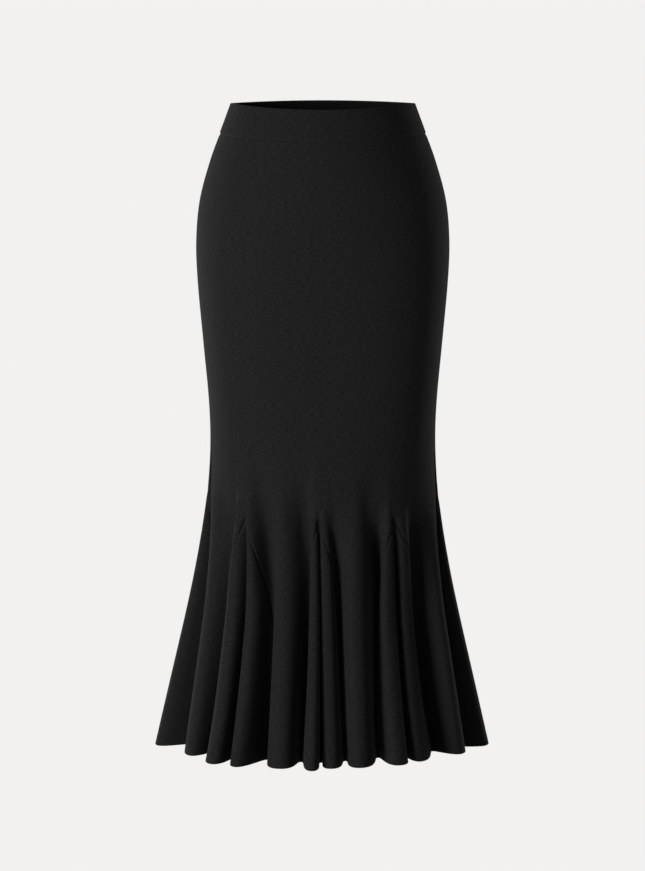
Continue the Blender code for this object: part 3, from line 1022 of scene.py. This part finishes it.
class GeometryTree:
    """A Geometry Nodes tree that takes an object's mesh and some named values."""

    def __init__(self, name: str, numbers: Iterable[str]) -> None:
        """Starts a tree.

        Args:
            name: The tree's name.
            numbers: The names of the number inputs, besides Geometry and Material.
        """
        self.tree = bpy.data.node_groups.new(name, "GeometryNodeTree")
        sockets = [("Geometry", SocketKind.GEOMETRY), ("Material", SocketKind.MATERIAL)]
        for socket, kind in sockets + [(number, SocketKind.NUMBER) for number in numbers]:
            self.tree.interface.new_socket(socket, in_out="INPUT", socket_type=kind.value)
        self.tree.interface.new_socket("Geometry", in_out="OUTPUT", socket_type=SocketKind.GEOMETRY.value)
        self.inputs = self.tree.nodes.new("NodeGroupInput").outputs

    def node(self, kind: str, inputs: dict | None = None, settings: dict | None = None) -> bpy.types.Node:
        """Adds a node of a kind, with its inputs and settings by name."""
        return place_node(self.tree, kind, inputs, settings)

    def maths(self, operation: str, *values: object) -> Socket:
        """The result of a Math node on values or sockets."""
        return maths(self.tree, operation, *values)

    def swept(self, curve: Socket, radius: Socket, caps: bool = False) -> Socket:
        """A thread of a given radius along a curve."""
        round_edge = {"Resolution": THREAD_SIDES, "Radius": radius}
        profile = self.node("GeometryNodeCurvePrimitiveCircle", round_edge).outputs[0]
        inputs = {"Curve": curve, "Profile Curve": profile, "Fill Caps": caps}
        return self.node("GeometryNodeCurveToMesh", inputs).outputs[0]

    def stepped(self, step: Socket) -> Socket:
        """The tree's lines as curves with a point at each step."""
        path = self.node("GeometryNodeMeshToCurve", {"Mesh": self.inputs["Geometry"]}).outputs[0]
        inputs = {"Curve": path, "Length": step}
        return self.node("GeometryNodeResampleCurve", inputs, {"mode": "LENGTH"}).outputs[0]

    def attribute(self, name: str) -> Socket:
        """A vector attribute of the geometry."""
        settings = {"data_type": "FLOAT_VECTOR"}
        return self.node("GeometryNodeInputNamedAttribute", {"Name": name}, settings).outputs["Attribute"]

    def end(self, geometry: Socket) -> GeometryTree:
        """Shades the result smooth, makes instances real, sets the material and closes the tree."""
        smooth = self.node("GeometryNodeSetShadeSmooth", {"Geometry": geometry}).outputs[0]
        real = self.node("GeometryNodeRealizeInstances", {"Geometry": smooth}).outputs[0]
        dress = {"Geometry": real, "Material": self.inputs["Material"]}
        self.node("NodeGroupOutput", {"Geometry": self.node("GeometryNodeSetMaterial", dress).outputs[0]})
        return self

    def grow(self, source: Piece, material: Material, **numbers: float) -> Piece:
        """Runs the tree on an object and keeps the result as a plain mesh.

        Args:
            source: The object whose mesh is the tree's geometry. It is removed.
            material: What the result is made of.
            numbers: The tree's number inputs, by name.

        Returns:
            A new object of the source's name, at the origin.
        """
        modifier = source.modifiers.new("grow", "NODES")
        modifier.node_group = self.tree
        values: dict[str, object] = {"Material": material, **numbers}
        for item in self.tree.interface.items_tree:
            if item.in_out == "INPUT" and item.name in values:
                modifier[item.identifier] = values[item.name]
        graph = bpy.context.evaluated_depsgraph_get()
        evaluated = source.evaluated_get(graph)
        mesh = bpy.data.meshes.new_from_object(evaluated, preserve_all_data_layers=True, depsgraph=graph)
        name = source.name
        bpy.data.objects.remove(source)
        mesh.name = name
        return placed(name, mesh)


def wall_tree() -> GeometryTree:
    """Gives a sheet its thickness, half to each side along its outward ways, and closes the rims."""
    tree = GeometryTree("cloth_wall", ["Thickness"])
    sheet = tree.inputs["Geometry"]
    raised = tree.node("GeometryNodeExtrudeMesh", {"Mesh": sheet, "Offset Scale": 0.0, "Individual": False})
    under = tree.node("GeometryNodeFlipFaces", {"Mesh": sheet})
    both = tree.node("GeometryNodeJoinGeometry")
    tree.tree.links.new(under.outputs[0], both.inputs[0])
    tree.tree.links.new(raised.outputs["Mesh"], both.inputs[0])
    layer = tree.maths("MULTIPLY_ADD", raised.outputs["Top"], 2.0, -1.0)
    reach = tree.maths("MULTIPLY", layer, tree.maths("MULTIPLY", tree.inputs["Thickness"], 0.5))
    offset = vector_maths(tree.tree, "SCALE", {0: tree.attribute("outward"), "Scale": reach})
    moved = tree.node("GeometryNodeSetPosition", {"Geometry": both.outputs[0], "Offset": offset})
    closed = tree.node("GeometryNodeMergeByDistance", {"Geometry": moved.outputs[0], "Distance": NEAR_ZERO})
    return tree.end(closed.outputs[0])


def stitch_tree() -> GeometryTree:
    """Lays separate stitches along a path: arched threads whose ends dip into the cloth."""
    tree = GeometryTree("stitches", ["Pitch", "Gap", "Radius"])
    radius = tree.inputs["Radius"]
    stitch = tree.maths("SUBTRACT", tree.inputs["Pitch"], tree.inputs["Gap"])
    reach = tree.maths("MULTIPLY", stitch, 0.5)
    arch = {"Resolution": STITCH_STEPS}
    bends = ("Start", -1.0, STITCH_DIP), ("Middle", 0.0, STITCH_RISE), ("End", 1.0, STITCH_DIP)
    for point, sign, rise in bends:
        place = {"X": tree.maths("MULTIPLY", reach, sign), "Z": tree.maths("MULTIPLY", radius, rise)}
        arch[point] = tree.node("ShaderNodeCombineXYZ", place).outputs[0]
    curve = tree.node("GeometryNodeCurveQuadraticBezier", arch).outputs[0]
    turn = tree.node(
        "FunctionNodeAxesToRotation",
        {0: tree.node("GeometryNodeInputTangent").outputs[0], 1: tree.attribute("outward")},
        {"primary_axis": "X", "secondary_axis": "Z"},
    )
    thread = {"Instance": tree.swept(curve, radius, caps=True), "Rotation": turn.outputs[0]}
    points = tree.stepped(tree.inputs["Pitch"])
    return tree.end(tree.node("GeometryNodeInstanceOnPoints", {"Points": points, **thread}).outputs[0])


def zigzag_tree() -> GeometryTree:
    """Leads one thread to and fro across a path, as an overlock or a cover stitch does."""
    tree = GeometryTree("zigzag", ["Pitch", "Width", "Radius"])
    path = tree.stepped(tree.maths("DIVIDE", tree.inputs["Pitch"], float(ZIGZAG_STEPS)))
    tangent = tree.node("GeometryNodeInputTangent").outputs[0]
    across = vector_maths(tree.tree, "CROSS_PRODUCT", {0: tangent, 1: tree.attribute("outward")})
    index = tree.node("GeometryNodeInputIndex").outputs[0]
    wave = tree.maths("SINE", tree.maths("MULTIPLY", index, math.tau / ZIGZAG_STEPS))
    reach = tree.maths("MULTIPLY", tree.inputs["Width"], 0.5 / math.sin(math.tau / ZIGZAG_STEPS))
    offset = vector_maths(tree.tree, "SCALE", {0: across, "Scale": tree.maths("MULTIPLY", wave, reach)})
    swung = tree.node("GeometryNodeSetPosition", {"Geometry": path, "Offset": offset})
    return tree.end(tree.swept(swung.outputs[0], tree.inputs["Radius"]))


# ---- Finishes ----


KNIT_SIZES = ("Wale", "Course", "Slub Length", "Slub Height", "Slubs", "Yarn")
# How finely slubs and yarn break up, and how far the loops and the yarn's own unevenness stand out.
SLUB_DETAIL, YARN_DETAIL = 2.0, 1.0
LOOP_RELIEF, YARN_RELIEF = 0.8, 0.5


def knit_face() -> Tree:
    """The face of a fine knit: how its shade varies, and the height of its stitches.

    Returns:
        A shader group. Its inputs are Cloth, in metres, the sizes of a stitch, the sizes of a slub
        and how strongly both kinds of slub show. Its outputs are Shade and Height.
    """
    group = bpy.data.node_groups.new("knit_face", "ShaderNodeTree")
    group.interface.new_socket("Cloth", in_out="INPUT", socket_type=SocketKind.VECTOR.value)
    for way, names in (("INPUT", KNIT_SIZES), ("OUTPUT", ("Shade", "Height"))):
        for name in names:
            group.interface.new_socket(name, in_out=way, socket_type=SocketKind.NUMBER.value)
    given = group.nodes.new("NodeGroupInput").outputs
    calc = partial(maths, group)
    parts = place_node(group, "ShaderNodeSeparateXYZ", {0: given["Cloth"]}).outputs
    across = calc("DIVIDE", parts["X"], given["Wale"])
    down = calc("DIVIDE", parts["Y"], given["Course"])
    from_middle = calc("ABSOLUTE", calc("SUBTRACT", calc("FRACT", across), 0.5))
    leg = calc("SINE", calc("MULTIPLY", calc("FRACT", calc("MULTIPLY", across, 2.0)), math.pi))
    slant = calc("FRACT", calc("ADD", down, from_middle))
    loop = calc("SQRT", calc("SINE", calc("MULTIPLY", slant, math.pi)))

    def noise(length: Socket, tall: Socket, detail: float) -> Socket:
        """Noise in cells of a given length and height, about zero."""
        cells = {"X": calc("DIVIDE", 1.0, length), "Y": calc("DIVIDE", 1.0, tall)}
        scale = place_node(group, "ShaderNodeCombineXYZ", cells).outputs[0]
        at = vector_maths(group, "MULTIPLY", {0: given["Cloth"], 1: scale})
        value = place_node(group, "ShaderNodeTexNoise", {"Vector": at, "Scale": 1.0, "Detail": detail})
        return calc("SUBTRACT", value.outputs[0], 0.5)

    slubs = calc("MULTIPLY", noise(given["Slub Length"], given["Slub Height"], SLUB_DETAIL), given["Slubs"])
    yarn = calc("MULTIPLY", noise(given["Wale"], given["Course"], YARN_DETAIL), given["Yarn"])
    shade = calc("ADD", calc("ADD", slubs, yarn), 0.5)
    loops = calc("MULTIPLY", calc("MULTIPLY", leg, loop), LOOP_RELIEF)
    height = calc("ADD", loops, calc("MULTIPLY", yarn, YARN_RELIEF))
    place_node(group, "NodeGroupOutput", {"Shade": shade, "Height": height})
    return group


def material_of(name: str) -> tuple[Material, Tree, bpy.types.Node]:
    """A new material, its node tree and its shader."""
    material = bpy.data.materials.new(name)
    material.use_nodes = True
    return material, material.node_tree, material.node_tree.nodes["Principled BSDF"]


def shaded(tree: Tree, share: Socket, dark: Colour, light: Colour) -> Socket:
    """A colour between a dark and a light one."""
    inputs = {"Factor": share, 6: (*dark, 1.0), 7: (*light, 1.0)}
    return place_node(tree, "ShaderNodeMix", inputs, {"data_type": "RGBA"}).outputs[2]


@dataclass(frozen=True)
class KnitFinish:
    """A knit: its colours in linear light, its stitch and slub sizes in metres, and its surface."""

    slot: str
    dark: Colour
    light: Colour
    wale: float = 0.00085
    course: float = 0.0007
    slub_length: float = 0.0055
    slub_height: float = 0.0013
    slubs: float = 1.9
    yarn: float = 1.7
    roughness: float = 0.88
    gloss: float = 0.22
    sheen: float = 0.18
    sheen_spread: float = 0.35
    sheen_tint: Colour = (0.5, 0.5, 0.52)
    relief: float = 0.00011
    relief_strength: float = 0.6

    def build(self, face: Tree) -> Material:
        """Makes the material from the shared group of the knit's face."""
        material, tree, shader = material_of(f"heathered_{self.slot}")
        cloth = place_node(tree, "ShaderNodeUVMap", settings={"uv_map": "cloth"}).outputs[0]
        knit = place_node(tree, "ShaderNodeGroup", settings={"node_tree": face})
        sizes = (self.wale, self.course, self.slub_length, self.slub_height, self.slubs, self.yarn)
        fill(tree, knit, {"Cloth": cloth, **dict(zip(KNIT_SIZES, sizes))})
        relief = {"Height": knit.outputs["Height"], "Strength": self.relief_strength, "Distance": self.relief}
        looks = {
            "Base Color": shaded(tree, knit.outputs["Shade"], self.dark, self.light),
            "Normal": place_node(tree, "ShaderNodeBump", relief).outputs[0],
            "Roughness": self.roughness,
            "Specular IOR Level": self.gloss,
            "Sheen Weight": self.sheen,
            "Sheen Roughness": self.sheen_spread,
            "Sheen Tint": (*self.sheen_tint, 1.0),
        }
        fill(tree, shader, looks)
        material.diffuse_color = (*self.light, 1.0)
        return material


KNITS = (
    KnitFinish("knit", (0.0036, 0.0036, 0.0041), (0.0206, 0.0206, 0.0211)),
    KnitFinish("band_knit", (0.0036, 0.0036, 0.0041), (0.0201, 0.0201, 0.0206)),
)


@dataclass(frozen=True)
class ThreadFinish:
    """Sewing thread: twisted, a little glossier than the cloth."""

    name: str = "thread"
    dark: Colour = (0.0084, 0.0084, 0.009)
    light: Colour = (0.014, 0.014, 0.015)
    twist: float = 0.0006
    distortion: float = 0.5
    relief: float = 0.00005
    roughness: float = 0.55
    gloss: float = 0.3

    def build(self) -> Material:
        """Makes the material, with the thread's twist as fine diagonal bands."""
        material, tree, shader = material_of(self.name)
        place = place_node(tree, "ShaderNodeTexCoord").outputs["Object"]
        pattern = {"Vector": place, "Scale": 1.0 / self.twist / math.tau, "Distortion": self.distortion}
        bands = place_node(tree, "ShaderNodeTexWave", pattern, {"bands_direction": "DIAGONAL"}).outputs["Fac"]
        bump = place_node(tree, "ShaderNodeBump", {"Height": bands, "Distance": self.relief}).outputs[0]
        colour = shaded(tree, bands, self.dark, self.light)
        looks = {"Base Color": colour, "Normal": bump, "Roughness": self.roughness}
        fill(tree, shader, {**looks, "Specular IOR Level": self.gloss})
        return material


# ---- The skirt ----


@dataclass
class Workshop:
    """The trees and finishes that all pieces share."""

    wall: GeometryTree
    stitches: GeometryTree
    zigzag: GeometryTree
    knits: dict[str, Material]
    thread: Material


# Faces that meet more sharply than this keep a hard edge, as at the rims of a sheet.
SHARP_RIM = math.radians(55)
# How far the allowances stop short of the hem's turn-up, and of what lies at their other ends.
STOP_SHORT, CLEARANCE = 1.0, 0.5


@dataclass(frozen=True)
class Stitching:
    """Sizes of the hem's twin rows, its cover thread and the overlock, in millimetres.

    The depths are how far outside the surface a thread's middle lies.
    """

    row_pitch: float = 3.1
    row_gap: float = 0.5
    row_radius: float = 0.19
    row_depth: float = 0.82
    cover_pitch: float = 3.3
    cover_width: float = HEM_STITCHES[1] - HEM_STITCHES[0]
    cover_radius: float = 0.16
    cover_depth: float = -1.92
    overlock_pitch: float = 3.3
    overlock_width: float = 3.6
    overlock_radius: float = 0.17
    overlock_rise: float = 0.18


@dataclass
class Skirt:
    """The skirt's cloth and sewing, laid on its surface."""

    pattern: Pattern
    shop: Workshop
    stitching: Stitching = Stitching()
    knit_thick: float = 1.1
    band_thick: float = 1.2
    outer_face: float = 0.8
    hem_gap: float = 1.25
    band_gap: float = 1.7

    def sewn(self, piece: Piece) -> Piece:
        """Lets a thread or an allowance go with the skirt, and reports it."""
        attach(piece, "root")
        LOG.info("%s: %d faces", piece.name, len(piece.data.polygons))
        return piece

    def walled(self, mesh: SheetMesh, knit: str, thickness: float) -> Piece:
        """Gives a sheet its knit and its thickness."""
        piece = self.shop.wall.grow(mesh.build(), self.shop.knits[knit], Thickness=thickness * MM)
        piece.data.set_sharp_from_angle(angle=SHARP_RIM)
        return piece

    def thread(self, path: ThreadPath, tree: GeometryTree, **sizes: float) -> Piece:
        """Lays thread along a path.

        Args:
            path: The lines that it follows.
            tree: The tree that makes its stitches.
            sizes: The tree's number inputs, in millimetres.

        Returns:
            The thread.
        """
        metres = {name: size * MM for name, size in sizes.items()}
        return self.sewn(tree.grow(path.build(), self.shop.thread, **metres))

    def hem_threads(self, name: str, patches: Sequence[Patch], levels: Sequence[float]) -> list[Piece]:
        """The twin rows outside the hem of a sheet and the thread that covers its turn-up inside."""
        sewn = self.stitching
        rows, cover = ThreadPath(f"hem_rows_{name}"), ThreadPath(f"hem_cover_{name}")
        drops = [CUT.length - height for height in HEM_STITCHES]
        for patch in patches:
            lines = patch.levels_at(levels, [*drops, sum(drops) / len(drops)])
            for row in range(len(drops)):
                rows.add(lines.points[row], lines.outward[row], sewn.row_depth)
            cover.add(lines.points[-1], lines.outward[-1], sewn.cover_depth)
        row = {"Pitch": sewn.row_pitch, "Gap": sewn.row_gap, "Radius": sewn.row_radius}
        over = {"Pitch": sewn.cover_pitch, "Width": sewn.cover_width, "Radius": sewn.cover_radius}
        return [self.thread(rows, self.shop.stitches, **row), self.thread(cover, self.shop.zigzag, **over)]

    def allowance(self, name: str, strips: Sequence[tuple[Patch, Array, Array]], sizes: Allowance) -> list:
        """Makes allowances, with the overlock thread on each.

        Args:
            name: What the allowances belong to.
            strips: For each, the surface that it lies under, and its overlock's line and outward ways.
            sizes: Their thickness and place.

        Returns:
            The allowances, one piece, and their thread.
        """
        sewn = self.stitching
        mesh, line = SheetMesh(f"allowance_{name}"), ThreadPath(f"overlock_{name}")
        for patch, points, outward in strips:
            mesh.add(patch.moved(-sizes.under))
            line.add(points, outward, -sizes.under - sizes.thick / 2 - sewn.overlock_rise)
        piece = self.sewn(self.walled(mesh, "knit", sizes.thick))
        over = {"Pitch": sewn.overlock_pitch, "Width": sewn.overlock_width, "Radius": sewn.overlock_radius}
        return [piece, self.thread(line, self.shop.zigzag, **over)]

    def seam_allowances(self, half: str, first: int) -> list[Piece]:
        """The allowances of the front's or the back's seams. Those of the side seams lie on the back."""
        last = first + len(GODETS) // 2
        seams = [(godet, Side.RIGHT) for godet in range(first, last)]
        seams += [(godet, Side.LEFT) for godet in range(first + 1, last + 1)]
        ends = CUT.length - HEM_TURN_UP - STOP_SHORT
        runs = [(godet, side, place_of(godet).tip - ALLOWANCE.tail, ends) for godet, side in seams]
        if half == "back":
            top, foot = WAIST_ALLOWANCE.across[-1] + CLEARANCE, CUT.side_tip - ALLOWANCE.tail - CLEARANCE
            runs += [(first, Side.RIGHT, top, foot), (last, Side.LEFT, top, foot)]
        strips = []
        for godet, side, start, end in runs:
            levels = [drop for drop in levels_of(PANEL_SPANS) if start < drop < end]
            patch = self.pattern.allowance(godet, side, [start, *levels, end])
            column = ALLOWANCE.overlock_column if side is Side.RIGHT else ~ALLOWANCE.overlock_column
            strips.append((patch, patch.points[:, column], patch.outward[:, column]))
        return self.allowance(half, strips, ALLOWANCE)

    def waist_allowance(self, half: str, patches: Sequence[Patch], levels: Sequence[float]) -> list[Piece]:
        """The allowance of the seam between the waistband and a panel, pressed down on the panel."""
        strips = []
        for patch in patches:
            rows = patch.levels_at(levels, WAIST_ALLOWANCE.across)
            row = WAIST_ALLOWANCE.overlock_column
            strips.append((rows, rows.points[row], rows.outward[row]))
        return self.allowance(f"waist_{half}", strips, WAIST_ALLOWANCE)

    def sheet(
        self, mesh: SheetMesh, node: str, thickness: float, slot: str, sewn: Sequence[Piece] = ()
    ) -> Piece:
        """Makes a sheet from its middle layer, in place of a solid of the frame.

        Args:
            mesh: The middle layer.
            node: The solid that it replaces.
            thickness: The cloth's thickness in millimetres.
            slot: The knit that it is made of.
            sewn: The threads and allowances on it. Not used.

        Returns:
            The sheet.
        """
        flat = mesh.cut_box()
        area = mesh.cut_area()
        piece = self.walled(mesh, slot, thickness)
        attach(piece, "root")
        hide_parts(node)
        measures = [len(piece.data.polygons), flat[0] / MM, flat[1] / MM, area]
        LOG.info("%s: %d faces, flat %.0f x %.0f mm, %.4f m2", piece.name, *measures)
        return piece

    def waistband(self, half: str, first: int) -> Piece:
        """The waistband of the front or the back: one cloth, folded at the top over the elastic."""
        levels = levels_of(BAND_SPANS)
        mesh = SheetMesh(f"band_{half}")
        before: Array | None = None
        for patch in self.pattern.tube_half(first, levels):
            folded = turned_edge(patch, self.band_gap, self.band_gap / 2, len(levels), at_hem=False)
            before = mesh.add(folded, before, len(folded.points))
        return self.sheet(mesh, f"waistband_{half}", self.band_thick, "band_knit")

    def panel(self, half: str, first: int) -> Piece:
        """The front or back panel, slit up from its turned hem for the godets."""
        levels = levels_of(PANEL_SPANS)
        whole = sum(drop <= CUT.front_tip for drop in levels)
        mesh = SheetMesh(f"cloth_{half}")
        before: Array | None = None
        patches = self.pattern.tube_half(first, levels)
        for patch in patches:
            before = mesh.add(self.hemmed(patch, levels), before, whole)
        sewn = self.hem_threads(half, patches, levels)
        sewn += self.seam_allowances(half, first) + self.waist_allowance(half, patches, levels)
        return self.sheet(mesh, f"{half}_panel", self.knit_thick, "knit", sewn)

    def godet(self, index: int) -> Piece:
        """A godet with its turned hem."""
        place = GODETS[index]
        levels = [drop for drop in levels_of(PANEL_SPANS) if drop > place.tip]
        mesh = SheetMesh(place.name.replace("godet", "flare"))
        patch = self.pattern.godet(index, levels)
        mesh.add(self.hemmed(patch, levels))
        sewn = self.hem_threads(mesh.name, [patch], levels)
        return self.sheet(mesh, place.name, self.knit_thick, "knit", sewn)

    def hemmed(self, patch: Patch, levels: list[float]) -> Patch:
        """Turns up a patch's hem."""
        turned = sum(drop >= CUT.length - HEM_TURN_UP for drop in levels)
        return turned_edge(patch, self.hem_gap, self.outer_face - self.knit_thick / 2, turned, at_hem=True)

    def build(self) -> None:
        """Builds every piece."""
        for half, first in (("front", 0), ("back", len(GODETS) // 2)):
            self.waistband(half, first)
            self.panel(half, first)
        for index in range(len(GODETS)):
            self.godet(index)


# ---- The studio ----


class Lamp(NamedTuple):
    """A soft square light: where it stands, its size in metres and its power."""

    name: str
    place: Place
    size: float
    watts: float


LAMPS = (
    Lamp("key", (-2.08, -2.42, -0.2), 1.2, 74.5),
    Lamp("left_side", (-2.85, 1.0, -0.3), 0.8, 3.0),
    Lamp("left_rim", (-2.36, 1.85, -0.3), 0.8, 18.0),
    Lamp("right_rim", (2.3, 1.95, -0.3), 0.8, 16.0),
)


@dataclass
class Studio:
    """A pale seamless studio with soft lights and the camera."""

    white: Colour = (0.887, 0.879, 0.863)
    bounce: float = 0.15
    floor_level: float = -1.3
    floor_reach: float = 8.0
    lamps_face: Place = (0.0, 0.0, -0.45)
    camera_place: Place = (-0.0004, -4.2, 0.03)
    camera_faces: Place = (-0.0004, 0.0, -0.435)
    lens: float = 133.26
    sensor: float = 36.0

    def whiten(self, item: bpy.types.World | Material, shader: str, output: str) -> None:
        """Makes the world or a material look the studio's white but throw less light on the cloth."""
        item.use_nodes = True
        tree = item.node_tree
        tree.nodes.clear()
        seen = place_node(tree, "ShaderNodeLightPath").outputs["Is Camera Ray"]
        strength = maths(tree, "MULTIPLY_ADD", seen, 1.0 - self.bounce, self.bounce)
        white = place_node(tree, shader, {"Color": (*self.white, 1.0), "Strength": strength})
        place_node(tree, output, {"Surface": white.outputs[0]})

    def floor(self) -> None:
        """Makes the floor."""
        material = bpy.data.materials.new("studio_floor")
        self.whiten(material, "ShaderNodeEmission", "ShaderNodeOutputMaterial")
        mesh = bpy.data.meshes.new("floor")
        ways = ((-1, -1), (1, -1), (1, 1), (-1, 1))
        corners = [(x * self.floor_reach, y * self.floor_reach, self.floor_level) for x, y in ways]
        mesh.from_pydata(corners, [], [(0, 1, 2, 3)])
        mesh.materials.append(material)
        placed("floor", mesh)

    def build(self) -> None:
        """Makes the world, the floor, the lamps and the camera."""
        scene = bpy.context.scene
        scene.world = bpy.data.worlds.new("studio")
        self.whiten(scene.world, "ShaderNodeBackground", "ShaderNodeOutputWorld")
        self.floor()
        for lamp in LAMPS:
            light = bpy.data.lights.new(lamp.name, "AREA")
            light.energy = lamp.watts
            light.size = lamp.size
            self.aim(placed(lamp.name, light), lamp.place, self.lamps_face)
        camera = bpy.data.cameras.new("camera")
        camera.lens = self.lens
        camera.sensor_width = self.sensor
        scene.camera = placed("camera", camera)
        self.aim(scene.camera, self.camera_place, self.camera_faces)
        scene.view_settings.view_transform = "Standard"

    def aim(self, item: Piece, place: Place, facing: Place) -> None:
        """Stands a lamp or camera at a place, turned to face a point."""
        item.location = place
        item.rotation_euler = (Vector(facing) - Vector(place)).to_track_quat("-Z", "Y").to_euler()


def main() -> None:
    """Builds the studio and the skirt."""
    logging.basicConfig(level=logging.INFO, format="%(message)s")
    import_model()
    Studio().build()
    face = knit_face()
    knits = {finish.slot: finish.build(face) for finish in KNITS}
    shop = Workshop(wall_tree(), stitch_tree(), zigzag_tree(), knits, ThreadFinish().build())
    Skirt(Pattern(SkirtForm()), shop).build()


if __name__ == "__main__":
    main()
